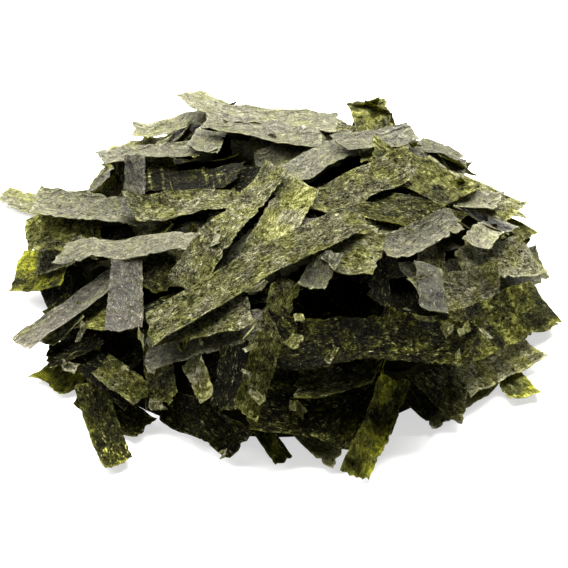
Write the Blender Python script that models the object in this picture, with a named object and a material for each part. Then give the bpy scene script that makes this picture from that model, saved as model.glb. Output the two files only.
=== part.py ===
"""Loose heap of crumbled seasoned nori: torn strips of thin sheet lying over one another.

The heap is one solid, a low core with the outer strips fused on, and it rests on z = 0.
+X is right, -Y is the front, +Z is up. Lengths are in millimetres until the mesh is
written, in metres, and turns are in degrees from +X.
"""

import math
from collections import namedtuple

import bmesh
import bpy
import numpy as np
from mathutils import Vector
from mathutils.bvhtree import BVHTree

NAME = "nori_heap"
MM = 0.001
SEED = 7

# The heap. Places are given as it was laid out, and the middle of its box goes to the origin.
MIDDLE = (-5.86, 0.14)
MOUND_X = -2.0
MOUND_Y = 2.0
MOUND_RADIUS = 67.0
MOUND_HEIGHT = 19.0
MOUND_FLATNESS = 2.6      # how flat the top is against how steep the sides are

# The strips hidden under the others, spread over a disc.
UNDER_STRIPS = 60
UNDER_REACH = 60.0
UNDER_INNER = 45.0        # nearer the middle than this they are long
UNDER_LENGTH = (18, 46)
UNDER_SHORT = 28          # the longest outside that
UNDER_WIDTH = (7, 11)

# The strips round the back and the sides, spread over a ring.
SIDE_STRIPS = 70
SIDE_REACH = 66.0
SIDE_BACK = 40.0          # they lie behind this line, and in front of it only near the rim
SIDE_INNER = 62.0
SIDE_FRONT = -15.0
SIDE_OUTER = 78.0         # where their ends stop
SIDE_TURN = 50            # spread of their turns about pointing outwards
SIDE_LENGTH = (24, 50)
SIDE_WIDTH = (8, 12)

# The short scraps under the strips of the flanks, spread over a ring.
SCRAPS = 48
SCRAP_REACH = 60.0
SCRAP_INNER = 28.0
SCRAP_BACK = 26.0         # they lie in front of this line
SCRAP_LENGTH = (10, 22)
SCRAP_WIDTH = (5, 9)

# A strip, and how far it strays from a flat rectangle.
SHEET = 0.25              # thickness of the sheet
BOW = 0.02                # sideways, to its length
SKEW = 0.45               # of its ends, to its width
TAPER = 0.12
CURL = 1 / 200            # curvature along it, per mm
CUP = 1 / 40              # curvature across it
WAVE = (0.25, 0.75)       # height of its ripples
WAVE_LENGTH = (14, 30)
WAVE_SLANT = 0.3
FOLD = 0.12               # slope beside a crease, on one strip in four
FOLD_REACH = 0.3          # of its length, either side of the middle
TIP_CURL = 1 / 30         # most curvature of an end, on one strip in three
TIP_START = 0.25          # of its length, from the middle

# How a strip comes to rest.
CLEAR = 0.10              # air under it where it touches
BEND_ALONG = 30.0         # the size of its bends
BEND_ACROSS = 5.0
STIFF_LENGTH = 45.0       # the length at which its stiffness holds as given
FIRST_FALL = 0.8
LEAST_FALL = 0.1
FALL_SLOWING = 0.95
FALL_STEPS = 80
TURNS_TO_REST = 2         # each starts from the last one's slope
REST_PITCH = 2.5          # between the points that feel the ground
REST_COLUMNS = 5
COVER_PITCH = 0.6         # between the points that raise it

# The solid that stands for them.
SOLID_THICKNESS = 0.75
STATION_PITCH = 11.0      # between the cross-sections of a strip
CONTACT_GAP = 3.0         # a strip is fused on where it lies closer than this
CONTACT_DEPTH = 0.8
FOOT_LIFT = (0.02, 0.12)  # of a strip that reaches the floor
CORE_SPOKES = 26
CORE_RINGS = 7
CORE_REACH = 0.93         # of the mound's radius
CORE_LOBES = (3, 0.03)    # their number, and their depth to the mound's radius
CORE_RIM = 0.6
CORE_SOFTENING = 4
FACE_ROWS = 40            # points on a strip's top that raise the ground
FACE_COLUMNS = 9
FLAT = 0.01

# The grid that records how high the heap has grown.
CELL = 1.0
REACH = 100.0

NORI_COLOUR = (0.055, 0.065, 0.028, 1)
NORI_ROUGHNESS = 0.55

Hollow = namedtuple("Hollow", "x y radius depth")
Laid = namedtuple("Laid", "x y turn length width stiff level wild", defaults=[0.03, 0, 0.5])

# Gaps that show dark between the strips, and the room for those laid at the back.
HOLLOWS = [
    Hollow(-8, 42, 24, 5),
    Hollow(16, -38, 9, 9),
    Hollow(44, -20, 8, 7),
    Hollow(-27, 18, 7, 6),
    Hollow(-27, -17, 7, 6),
    Hollow(5, 23, 6, 6),
    Hollow(21, 20, 6, 6),
    Hollow(14, 0, 7, 6),
    Hollow(-24, -50, 10, 7),
    Hollow(-48, -28, 13, 8),
    Hollow(31, -49, 12, 7),
]

# Strips whose place shows, from the first laid to the last: those on the floor round the
# rim, then those on the flanks, then those on top. Stiff ones stay straight, a level of 1
# keeps a strip from tilting sideways, and a level of 2 from tilting at all.
RIM = [
    Laid(-72, 34, -25, 28, 8),
    Laid(-66, -3, -25, 20, 13),
    Laid(-56, -38, 35, 18, 12),
    Laid(-43, -52, -36, 22, 9),
    Laid(-45, -58, -70, 27, 8),
    Laid(-20, -60, -34, 24, 8),
    Laid(-4, -65, -40, 13, 6),
    Laid(7, -63, -40, 20, 8),
    Laid(58, -38, -66, 20, 8),
    Laid(64, -20, 30, 18, 9),
    Laid(44, -48, 40, 20, 7),
    Laid(55, -37, 36, 26, 10),
    Laid(63, 10, 64, 24, 8),
    Laid(44, 39, 20, 22, 8),
    Laid(38, 48, 5, 20, 8),
    Laid(58, 24, -40, 30, 12),
    Laid(-52, 28, 20, 30, 10),
    Laid(-46, 40, -30, 24, 9),
]
FLANK = [
    Laid(-46, -44, -44, 22, 8),
    Laid(-54, -35, 15, 16, 8),
    Laid(-41, -48, -42, 14, 7),
    Laid(-50, -28, -32, 18, 9),
    Laid(-21, -52, -68, 14, 5),
    Laid(1, -60, 3, 22, 13),
    Laid(18, -60, 50, 22, 10),
    Laid(31, -48, -27, 22, 12),
    Laid(23, -62, 65, 28, 8),
    Laid(37, -47, -28, 24, 12),
    Laid(14, -53, 12, 22, 8),
    Laid(17, -47, 2, 44, 10),
    Laid(-58, -29, 28, 13, 9),
    Laid(-56, -25, 33, 31, 9, 0.15),
    Laid(-60, 1, -20, 22, 12),
    Laid(-49, 38, -60, 12, 6, 0.3, 1),
    Laid(-53, 7, -18, 33, 10, 0.3),
    Laid(58, -6, 38, 28, 11),
    Laid(50, 2, 5, 18, 8),
    Laid(57, 3, 62, 27, 7),
    Laid(43, 31, 8, 20, 8, 0.3, 1),
    Laid(51, 16, -20, 30, 13, 0.03, 1),
    Laid(54, 12, 5, 13, 7),
]
TOP = [
    Laid(-28, 18, 9, 34, 12),
    Laid(-40, 54, 2, 27, 7, 0.9, 1),
    Laid(-31, 58, -5, 30, 8, 0.3, 1),
    Laid(-18, 54, -48, 32, 9, level=2),
    Laid(0, 52, 75, 18, 9, level=1),
    Laid(15, 49, -62, 18, 8, level=1),
    Laid(37, 42, 4, 16, 6, 0.3, 1),
    Laid(45, 37, 0, 14, 6, 0.3, 1),
    Laid(26, 41, -86, 30, 11, level=2),
    Laid(-35, 27, 27, 35, 7, 0.3, 1),
    Laid(-22, 36, -100, 16, 9),
    Laid(-2, 46, -8, 32, 9, 0.2, 1),
    Laid(-6, 39, -16, 34, 9, 0.1, 1),
    Laid(11, 25, 40, 26, 9, 0.03, 1),
    Laid(26, 34, 25, 26, 8),
    Laid(37, 18, -30, 28, 14),
    Laid(34, 1, -20, 28, 14),
    Laid(20, 13, 25, 36, 12),
    Laid(-41, 10, -90, 21, 6),
    Laid(-26, 5, 12, 32, 10),
    Laid(-33, -19, -45, 15, 11),
    Laid(-41, -26, -89, 23, 9),
    Laid(-39, -11, -6, 43, 8, 0.2, 1),
    Laid(-20, -43, 3, 30, 9),
    Laid(-20, -40, 2, 24, 9),
    Laid(-13, -54, -100, 16, 8),
    Laid(-4, -48, -106, 40, 7),
    Laid(46, -23, 28, 24, 11),
    Laid(54, -30, 42, 46, 13),
    Laid(23, -48, -2, 47, 10, 0.6),
    Laid(36, -9, 37, 27, 8),
    Laid(38, -28, -88, 17, 7),
    Laid(7, -13, -90, 18, 6),
    Laid(18, -21, 8, 15, 13),
    Laid(9, -28, -115, 12, 7),
    Laid(-12, -15, 59, 30, 5),
    Laid(-3, -10, 68, 44, 11),
    Laid(-14, -6, 62, 50, 10),
    Laid(-6, -25, 31, 65, 11, 0.03, 1),
]


def mound_height(x, y):
    """Height of the bare mound: a flat top, steep sides and the hollows."""
    reach = np.hypot(x - MOUND_X, y - MOUND_Y) / MOUND_RADIUS
    z = MOUND_HEIGHT * (1 - reach ** MOUND_FLATNESS)
    for hollow in HOLLOWS:
        away = ((x - hollow.x) ** 2 + (y - hollow.y) ** 2) / hollow.radius ** 2
        z = z - hollow.depth * np.exp(-away)
    return np.maximum(z, 0)


class Ground:
    """Height of all that is laid so far, on a square grid."""

    def __init__(self):
        self.z = mound_height(*self.places())

    def places(self):
        steps = np.arange(-REACH, REACH + CELL / 2, CELL)
        return np.meshgrid(steps, steps, indexing="ij")

    def cell(self, x, y):
        last = len(self.z) - 2
        i = np.clip(np.rint((x + REACH) / CELL).astype(int), 1, last)
        j = np.clip(np.rint((y + REACH) / CELL).astype(int), 1, last)
        return i, j

    def top(self, x, y):
        """Highest ground in the nine cells around each point."""
        i, j = self.cell(x, y)
        near = [self.z[i + a, j + b] for a in (-1, 0, 1) for b in (-1, 0, 1)]
        return np.max(near, axis=0)

    def cover(self, x, y, z):
        np.maximum.at(self.z, self.cell(x, y), z)

    def soften(self, passes):
        for _ in range(passes):
            inner = self.z[1:-1, 1:-1]
            beside = self.z[:-2, 1:-1] + self.z[2:, 1:-1] + self.z[1:-1, :-2] + self.z[1:-1, 2:]
            self.z[1:-1, 1:-1] = (inner + beside) / 5


def strip_points(count_u, count_v):
    """Even points over a strip, from -1 to 1 along it and across it."""
    along = np.linspace(-1, 1, count_u)
    across = np.linspace(-1, 1, count_v)
    u, v = np.meshgrid(along, across, indexing="ij")
    return u.ravel(), v.ravel()


class Strip:
    """A torn strip with its own curl, let down until it rests on the ground."""

    def __init__(self, laid, rng):
        self.x = laid.x
        self.y = laid.y
        self.turn = math.radians(laid.turn)
        self.length = laid.length
        self.width = laid.width
        self.stiff = laid.stiff
        self.level = laid.level
        self.bow = rng.normal(0, BOW) * laid.length * laid.wild
        self.skew = rng.uniform(-SKEW, SKEW, 2)
        self.taper = rng.uniform(-TAPER, TAPER)
        self.curl = rng.normal(0, CURL) * laid.wild
        self.cup = rng.normal(0, CUP)
        self.wave = rng.uniform(*WAVE)
        self.wave_length = rng.uniform(*WAVE_LENGTH)
        self.phase = rng.uniform(0, 2 * math.pi)
        self.fold = rng.choice([0, 0, 0, 1]) * rng.normal(0, FOLD) * laid.wild
        self.fold_at = rng.uniform(-FOLD_REACH, FOLD_REACH) * laid.length
        self.tip = rng.choice([0, 0, 1]) * rng.uniform(0, TIP_CURL)
        self.shrink = (1.0, 1.0)
        self.rest = np.zeros(6)

    def flat(self, u, v):
        """Place on the flat strip, along and across, with its skewed ends and taper."""
        skew = np.where(u < 0, self.skew[0], self.skew[1]) * np.abs(u) ** 3
        a = u * self.length / 2 + v * skew * self.width / 2
        b = v * self.width / 2 * (1 + self.taper * u) + self.bow * (u * u - 1 / 3)
        return a, b

    def plan(self, a, b):
        """Place seen from above, where a slope shortens the strip."""
        a = a * self.shrink[0]
        b = b * self.shrink[1]
        cos = math.cos(self.turn)
        sin = math.sin(self.turn)
        return self.x + a * cos - b * sin, self.y + a * sin + b * cos

    def own_shape(self, a, b):
        end = np.maximum(0, a - TIP_START * self.length)
        wave = np.sin(2 * math.pi * (a + WAVE_SLANT * b) / self.wave_length + self.phase)
        curl = self.curl * a * a / 2 + self.cup * b * b / 2 + self.tip * end * end
        return curl + self.wave * wave + self.fold * np.abs(a - self.fold_at)

    def bends(self, a, b):
        """The ways a strip may tilt (the first three) and bend as it comes to rest."""
        p = a / BEND_ALONG * (self.level < 2)
        q = b / BEND_ACROSS * (self.level < 1)
        return np.stack([np.ones_like(p), p, q, p * p, p * q, p ** 3], axis=1)

    def height(self, a, b):
        return self.own_shape(a, b) + self.bends(a, b) @ self.rest

    def settle(self, ground):
        """Let the strip down on the ground, then raise the ground by it."""
        a, b = self.flat(*strip_points(max(5, int(self.length / REST_PITCH)), REST_COLUMNS))
        bends = self.bends(a, b)
        tilts = bends[:, :3]
        stiff = tilts @ np.linalg.pinv(tilts)
        soft = bends @ np.linalg.pinv(bends)
        give = 1 - min(1.0, self.stiff * (STIFF_LENGTH / self.length) ** 2)
        hold = stiff + give * (soft - stiff)
        own = self.own_shape(a, b)
        for _ in range(TURNS_TO_REST):
            floor = ground.top(*self.plan(a, b)) + CLEAR - own
            z = np.full(len(floor), floor.max() + 0.5)
            fall = FIRST_FALL
            for _ in range(FALL_STEPS):
                z = hold @ np.maximum(z - fall, floor)
                fall = max(fall * FALL_SLOWING, LEAST_FALL)
            self.rest = np.linalg.pinv(bends) @ z
            self.rest[0] += max(0.0, float((floor - z).max()))
            self.shrink = 1 / np.hypot(1, [self.rest[1] / BEND_ALONG, self.rest[2] / BEND_ACROSS])
        rows = int(self.length / COVER_PITCH) + 2
        columns = int(self.width / COVER_PITCH) + 2
        a, b = self.flat(*strip_points(rows, columns))
        ground.cover(*self.plan(a, b), self.height(a, b) + SHEET)


def spiral_places(count, reach):
    """Places spread evenly over a disc, from its rim inwards, by the golden angle."""
    golden = math.pi * (3 - math.sqrt(5))
    for k in reversed(range(count)):
        yield reach * math.sqrt((k + 0.5) / count), k * golden


def under_strips(rng):
    for r, t in spiral_places(UNDER_STRIPS, UNDER_REACH):
        x = MOUND_X + r * math.cos(t)
        y = MOUND_Y + r * math.sin(t)
        longest = UNDER_LENGTH[1] if r < UNDER_INNER else UNDER_SHORT
        turn = rng.uniform(0, 180)
        length = rng.uniform(UNDER_LENGTH[0], longest)
        yield Strip(Laid(x, y, turn, length, rng.uniform(*UNDER_WIDTH), wild=1), rng)


def side_strips(rng):
    for r, t in spiral_places(SIDE_STRIPS, SIDE_REACH):
        y = r * math.sin(t)
        if y >= SIDE_BACK or y >= SIDE_FRONT and r >= SIDE_INNER:
            turn = math.degrees(t) + rng.normal(0, SIDE_TURN)
            length = rng.uniform(*SIDE_LENGTH)
            r = min(r, SIDE_OUTER - length / 2)
            place = (r * math.cos(t), r * math.sin(t))
            yield Strip(Laid(*place, turn, length, rng.uniform(*SIDE_WIDTH), wild=1), rng)


def scraps(rng):
    for r, t in spiral_places(SCRAPS, SCRAP_REACH):
        x = MOUND_X + r * math.cos(t)
        y = MOUND_Y + r * math.sin(t)
        if r >= SCRAP_INNER and y < SCRAP_BACK:
            turn = rng.uniform(0, 180)
            length = rng.uniform(*SCRAP_LENGTH)
            yield Strip(Laid(x, y, turn, length, rng.uniform(*SCRAP_WIDTH)), rng)


def lay_heap():
    """The bed of hidden strips, as ground, and the outer strips that lie over it."""
    rng = np.random.default_rng(SEED)
    ground = Ground()
    for strip in under_strips(rng):
        strip.settle(ground)
    bed = Ground()
    bed.z = ground.z.copy()
    outer = [Strip(laid, rng) for laid in RIM]
    outer += side_strips(rng)
    outer += scraps(rng)
    outer += [Strip(laid, rng) for laid in FLANK + TOP]
    for strip in outer:
        strip.settle(ground)
    return bed, outer


def at(x, y, z):
    """A laid-out place in millimetres, as a point of the mesh."""
    return Vector(((x - MIDDLE[0]) * MM, (y - MIDDLE[1]) * MM, z * MM))


def mesh_object(bm, name):
    mesh = bpy.data.meshes.new(name)
    bmesh.ops.recalc_face_normals(bm, faces=bm.faces)
    bm.to_mesh(mesh)
    bm.free()
    return bpy.data.objects.new(name, mesh)


def core_solid(bed):
    """The hidden bed as one low mound: the rings of half a sphere, opened out over it."""
    bed.soften(CORE_SOFTENING)
    bm = bmesh.new()
    segments = 2 * (CORE_RINGS + 1)
    bmesh.ops.create_uvsphere(bm, u_segments=CORE_SPOKES, v_segments=segments, radius=1)
    lower = [v for v in bm.verts if v.co.z < -FLAT]
    bmesh.ops.delete(bm, geom=lower, context="VERTS")
    foot = [v for v in bm.verts if v.co.z < FLAT]
    bmesh.ops.holes_fill(bm, edges=[edge for edge in bm.edges if edge.is_boundary])
    for v in bm.verts:
        ring = math.acos(min(1, v.co.z)) * segments / math.pi
        t = math.atan2(v.co.y, v.co.x)
        lobe = CORE_LOBES[1] * math.sin(CORE_LOBES[0] * t)
        r = min(1, ring / CORE_RINGS) * MOUND_RADIUS * (CORE_REACH + lobe)
        x = MOUND_X + r * math.cos(t)
        y = MOUND_Y + r * math.sin(t)
        z = max(CORE_RIM, bed.z[bed.cell(np.array(x), np.array(y))])
        v.co = at(x, y, 0 if v in foot else z)
    bmesh.ops.triangulate(bm, faces=bm.faces)
    return mesh_object(bm, NAME)


def ground_over(solid):
    """The height of a solid's top at each place, and 0 beside it."""
    ground = Ground()
    tree = BVHTree.FromPolygons(
        [v.co for v in solid.data.vertices],
        [face.vertices for face in solid.data.polygons],
    )
    x, y = ground.places()
    for place in np.ndindex(*x.shape):
        hit, _, _, _ = tree.ray_cast(at(x[place], y[place], REACH), Vector((0, 0, -1)))
        ground.z[place] = hit.z / MM if hit else 0
    return ground


def sheet_solid(x, y, top, bottom, name):
    """A grid over the places of a strip, extruded from its top to its bottom."""
    rows, columns = x.shape
    bm = bmesh.new()
    bmesh.ops.create_grid(bm, x_segments=rows - 1, y_segments=columns - 1, size=0.5)
    bmesh.ops.triangulate(bm, faces=bm.faces)
    extruded = bmesh.ops.extrude_face_region(bm, geom=bm.faces[:])["geom"]
    for v in bm.verts:
        place = round((v.co.x + 0.5) * (rows - 1)), round((v.co.y + 0.5) * (columns - 1))
        z = bottom if v in extruded else top
        v.co = at(x[place], y[place], z[place])
    bmesh.ops.triangulate(bm, faces=bm.faces)
    return mesh_object(bm, name)


def over_faces(values):
    """Values spread over a strip's flat faces, from those at its cross-sections."""
    along = np.linspace(0, len(values) - 1, FACE_ROWS)
    sides = [np.interp(along, np.arange(len(values)), values[:, side]) for side in (0, 1)]
    across = np.linspace(0, 1, FACE_COLUMNS)
    return np.outer(sides[0], 1 - across) + np.outer(sides[1], across)


def strip_solid(strip, ground, lift, name):
    """A strip with few sides, its underside let down to what it nearly touches."""
    rows = 3 + int(strip.length / STATION_PITCH)
    a, b = strip.flat(*strip_points(rows, 2))
    x, y = strip.plan(a, b)
    top = np.maximum(strip.height(a, b), lift) + SHEET
    below = ground.z[ground.cell(x, y)]
    gap = top - below
    resting = gap < max(CONTACT_GAP, gap.min() + SHEET)
    sunk = np.where(resting, below - CONTACT_DEPTH, top)
    bottom = np.maximum(np.minimum(top - SOLID_THICKNESS, sunk), lift)
    x, y, top, bottom = (values.reshape(rows, 2) for values in (x, y, top, bottom))
    ground.cover(over_faces(x), over_faces(y), over_faces(top))
    return sheet_solid(x, y, top, bottom, name)


def join(heap, strips):
    """Fuses the strips on, and removes their own objects."""
    union = heap.modifiers.new("join", "BOOLEAN")
    union.operation = "UNION"
    union.operand_type = "COLLECTION"
    union.collection = strips
    union.solver = "EXACT"
    bpy.context.view_layer.objects.active = heap
    bpy.ops.object.modifier_apply(modifier=union.name)
    for strip in list(strips.objects):
        bpy.data.objects.remove(strip, do_unlink=True)
    bpy.data.collections.remove(strips)


def joined_faces(first):
    """All the faces of the body that a face belongs to."""
    body = {first}
    rim = [first]
    while rim:
        for edge in rim.pop().edges:
            fresh = [face for face in edge.link_faces if face not in body]
            body.update(fresh)
            rim += fresh
    return body


def keep_outer_body(heap):
    """Drops loose scraps, and fills hollows that the fusing has sealed."""
    bm = bmesh.new()
    bm.from_mesh(heap.data)
    bodies = []
    left = set(bm.faces)
    while left:
        bodies.append(joined_faces(next(iter(left))))
        left -= bodies[-1]
    bodies.sort(key=len)
    for body in bodies[:-1]:
        bmesh.ops.delete(bm, geom=list(body), context="FACES")
    bm.to_mesh(heap.data)
    bm.free()


def nori_material():
    material = bpy.data.materials.new(NAME)
    material.use_nodes = True
    surface = material.node_tree.nodes["Principled BSDF"]
    surface.inputs["Base Color"].default_value = NORI_COLOUR
    surface.inputs["Roughness"].default_value = NORI_ROUGHNESS
    surface.inputs["Metallic"].default_value = 0
    return material


def new_collection(name):
    collection = bpy.data.collections.new(name)
    bpy.context.scene.collection.children.link(collection)
    return collection


def main():
    for old in list(bpy.data.objects):
        bpy.data.objects.remove(old, do_unlink=True)
    bed, outer = lay_heap()
    heap = core_solid(bed)
    new_collection("crumbled_nori").objects.link(heap)
    strips = new_collection("strips")
    rng = np.random.default_rng(SEED)
    ground = ground_over(heap)
    for k, strip in enumerate(outer):
        strips.objects.link(strip_solid(strip, ground, rng.uniform(*FOOT_LIFT), f"strip_{k}"))
    join(heap, strips)
    keep_outer_body(heap)
    heap.data.materials.append(nori_material())


if __name__ == "__main__":
    main()
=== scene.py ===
"""Looks of a heap of crumbled seasoned nori: each torn strip is its own thin sheet.

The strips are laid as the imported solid's were, in millimetres, and come to rest on one
another from the bottom up. +X is right, -Y is the front, +Z is up.
"""

import math
from collections import namedtuple

import bmesh
import bpy
import numpy as np
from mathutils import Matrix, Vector


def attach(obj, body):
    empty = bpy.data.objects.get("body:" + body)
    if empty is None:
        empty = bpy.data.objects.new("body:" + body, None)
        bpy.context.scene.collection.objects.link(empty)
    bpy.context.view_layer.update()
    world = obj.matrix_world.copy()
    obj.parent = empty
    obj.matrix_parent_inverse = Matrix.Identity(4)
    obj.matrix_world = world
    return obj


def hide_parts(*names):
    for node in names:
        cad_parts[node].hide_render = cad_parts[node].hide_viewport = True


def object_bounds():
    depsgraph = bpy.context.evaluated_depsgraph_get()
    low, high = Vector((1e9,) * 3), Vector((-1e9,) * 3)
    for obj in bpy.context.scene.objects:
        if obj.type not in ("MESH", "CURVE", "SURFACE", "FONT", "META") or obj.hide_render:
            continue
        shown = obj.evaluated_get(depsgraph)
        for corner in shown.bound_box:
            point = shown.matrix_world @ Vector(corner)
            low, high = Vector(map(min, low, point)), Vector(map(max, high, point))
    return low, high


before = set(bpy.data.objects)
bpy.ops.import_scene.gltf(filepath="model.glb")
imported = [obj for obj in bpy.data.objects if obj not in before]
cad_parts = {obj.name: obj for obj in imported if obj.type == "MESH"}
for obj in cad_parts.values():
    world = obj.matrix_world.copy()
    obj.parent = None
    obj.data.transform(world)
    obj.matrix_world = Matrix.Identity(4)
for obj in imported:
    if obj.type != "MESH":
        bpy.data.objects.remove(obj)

CAD_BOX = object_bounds()
NODE = "nori_heap"
BODY = "root"
MM = 0.001
SEED = 7
HEAP_TOP = CAD_BOX[1][2] / MM

# The heap. Places are given as it was laid out, and the middle of its box goes to the origin.
MIDDLE = (-5.86, 0.14)
MOUND_X = -2.0
MOUND_Y = 2.0
MOUND_RADIUS = 67.0
MOUND_HEIGHT = 19.0
MOUND_FLATNESS = 2.6      # how flat the top is against how steep the sides are

# The strips hidden under the others, spread over a disc.
UNDER_STRIPS = 60
UNDER_REACH = 60.0
UNDER_INNER = 45.0        # nearer the middle than this they are long
UNDER_LENGTH = (18, 46)
UNDER_SHORT = 28          # the longest outside that
UNDER_WIDTH = (7, 11)

# The strips round the back and the sides, spread over a ring.
SIDE_STRIPS = 70
SIDE_REACH = 66.0
SIDE_BACK = 40.0          # they lie behind this line, and in front of it only near the rim
SIDE_INNER = 62.0
SIDE_FRONT = -15.0
SIDE_OUTER = 78.0         # where their ends stop
SIDE_TURN = 50            # spread of their turns about pointing outwards
SIDE_LENGTH = (24, 50)
SIDE_WIDTH = (8, 12)

# The short scraps under the strips of the flanks, spread over a ring.
SCRAPS = 48
SCRAP_REACH = 60.0
SCRAP_INNER = 28.0
SCRAP_BACK = 26.0         # they lie in front of this line
SCRAP_LENGTH = (10, 22)
SCRAP_WIDTH = (5, 9)

# A strip, and how far it strays from a flat rectangle.
SHEET = 0.25              # thickness of the sheet
BOW = 0.02                # sideways, to its length
SKEW = 0.45               # of its ends, to its width
TAPER = 0.12
CURL = 1 / 200            # curvature along it, per mm
CUP = 1 / 40              # curvature across it
WAVE = (0.25, 0.75)       # height of its ripples
WAVE_LENGTH = (14, 30)
WAVE_SLANT = 0.3
FOLD = 0.12               # slope beside a crease, on one strip in four
FOLD_REACH = 0.3          # of its length, either side of the middle
TIP_CURL = 1 / 30         # most curvature of an end, on one strip in three
TIP_START = 0.25          # of its length, from the middle

# How a strip comes to rest.
CLEAR = 0.10              # air under it where it touches
BEND_ALONG = 30.0         # the size of its bends
BEND_ACROSS = 5.0
STIFF_LENGTH = 45.0       # the length at which its stiffness holds as given
FIRST_FALL = 0.8
LEAST_FALL = 0.1
FALL_SLOWING = 0.95
FALL_STEPS = 80
TURNS_TO_REST = 2         # each starts from the last one's slope
REST_PITCH = 2.5          # between the points that feel the ground
REST_COLUMNS = 5
COVER_PITCH = 0.6         # between the points that raise it

# The grid that records how high the heap has grown.
CELL = 1.0
REACH = 100.0

# The fine sheets.
FINE_PITCH = (0.55, 0.9)    # between points along a strip and across it
HIDDEN_PITCH = (0.9, 1.2)
FLAKE_PITCH = (0.5, 0.5)
FLOOR_CLEAR = 0.05
TORN = [0.4, 0.8, 1.3]      # how ragged a strip's sides are, to the usual
NICK_PITCH = 0.9            # between the teeth of a torn edge
NICK = 0.13                 # their size
DRIFT_PITCH = 9.0           # between the slower bends of an edge
DRIFT = 0.14
END_NICK = 0.35
END_DRIFT = 0.9
BITE_EVERY = 14.0           # one notch for so many millimetres of edge
BITE_DEPTH = (0.3, 1.1)
BITE_WIDTH = (0.4, 1.6)
SINES = 6                   # waves that make a sheet uneven
SINE_SPREAD = (0.7, 1.5)
COCKLE_WAVE = 12.0          # wide unevenness
COCKLE = 0.13
CRINKLE_WAVE = 3.2          # fine unevenness
CRINKLE = 0.08
FLUTTER_WAVE = (6.0, 13.0)  # of the edges
FLUTTER_START = 6.0         # the furthest on that its first wave starts, in radians
FLUTTER = 0.28
SIDE_LIFT = (0.1, 1.0)      # how far the long edges stand up
END_LIFT = (0.0, 1.4)
LIFT_LENGTH = 16.0          # shorter strips lie flatter
TOP_ROOM = 4.0              # the lift fades out over this height below the heap's top
PAINTED_EDGE_BAND = 0.8             # width of the painted highlight along each strip's edge
PAINTED_GLOW_START = 60.0            # from here outwards the strips are painted lighter and yellower, a painted glow for the light that comes through them
PAINTED_GLOW_WIDTH = 20.0
PATTERN_STEP = 37.0         # between one strip's place in the pattern and the next one's
SHARP = 50.0                # degrees from which an edge of the mesh is sharp

# The dark core, painted almost black as shade, a little lower than the strips that lie on it.
CORE_RINGS = 36
CORE_SPOKES = 120
CORE_REACH = 0.92           # of the mound's radius
CORE_BACK = 6.0             # how much further it reaches at the back
CORE_GAP = 0.8              # it lies at least this far under the bare mound
CORE_MARGIN = 2             # cells that it keeps inside the strips over it
CORE_BACK_DEPTH = 3.5       # how far it lies below them
CORE_FRONT_DEPTH = 5.5
CORE_WALL = 2.2             # slope of its back
CORE_EDGE = 0.3             # height of its edge
CORE_ROUGHNESS = 0.3

# The short strips that lean on the core's back.
SKIRT = 30
SKIRT_TURN = (-0.1, 3.24)   # from the right side round the back to the left, in radians
SKIRT_SHIFT = 0.04
SKIRT_INSET = (2, 6)        # from the core's edge
SKIRT_LEAN = 25             # degrees either way from pointing outwards
SKIRT_LENGTH = (12, 19)
SKIRT_WIDTH = (6, 10)

# The flakes that have crumbled off.
FLAKES = 26
FLAKE_SIZE = (1.2, 4.0)
FLAKE_START = 45.0
FLAKE_REACH = 72.0
FLAKE_BACK = -30.0

# The camera and the studio, in metres, degrees and watts.
CAMERA_ELEVATION = 40.0
CAMERA_DISTANCE = 0.44
LENS = 100.0
SENSOR = 36.0
FLOOR_HALF = 3.0
FLOOR_COLOUR = (0.50, 0.507, 0.53)
FLOOR_GLOW = 0.6            # so that the shadows on it stay as light as in the photo
SKY_COLOUR = (1, 0.98, 0.9, 1)
SKY = 0.12
LAMP_COLOUR = (1.0, 0.975, 0.90)
THROUGH = 0.3               # share of the light that comes through a sheet

Hollow = namedtuple("Hollow", "x y radius depth")
Laid = namedtuple("Laid", "x y turn length width stiff level wild look", defaults=[0.03, 0, 0.5, None])
Look = namedtuple("Look", "paleness yellowness gloss lilac stripes", defaults=[0, 0])
# edge weights the painted highlight along the strips' edges, and rim the painted glow near the heap's
# rim.
LOOKS = (*Look._fields, "edge", "rim")
Sockets = namedtuple("Sockets", LOOKS)
Pattern = namedtuple("Pattern", "streaks clumps tint pits grain")

# The kinds of sheet that the strips are torn from; some of them are painted light or shade, as marked.
# Painted highlight: near white, for strips on which the light from behind is reflected.
PAINTED_HIGHLIGHT = Look(1.45, -0.1, 0.9)
# SILVER, GREY and FOG are smooth, and their grey paleness is partly the sheet's own tone and partly
# painted sheen.
SILVER = Look(0.72, -0.15, 1.0)
GREY = Look(0.60, 0.15, 0.7)
LILAC = Look(0.45, 0.0, 0.7, lilac=1)
PALE = Look(0.88, 0.65, 0.1)
GREEN = Look(0.72, 0.4, 0.15)
MOSS = Look(0.36, 0.95, 0.0)
# Painted glow: pale yellow-green, for strips that the light from behind shines through.
PAINTED_GLOW = Look(0.66, 1.4, 0.1)
DARK = Look(0.0, 1.1, 0.0)
# Painted shade: darker than the sheet's own colour, for strips deep in the heap and at its front,
# where the light from behind doesn't reach.
PAINTED_SHADE = Look(-0.3, 0.9, 0.0)
BROAD = Look(0.66, 1.1, 0.1)
FOG = Look(0.85, 0.25, 0.75)
BROWN = Look(-0.32, 1.0, 0.0, stripes=1.0)
SHINY = Look(0.15, 0.8, 0.3)
SLATE = Look(0.34, 0.55, 0.6)
CHALK = Look(1.15, 0.5, 0.3)
OLIVE = Look(0.34, 1.25, 0.0)

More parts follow.
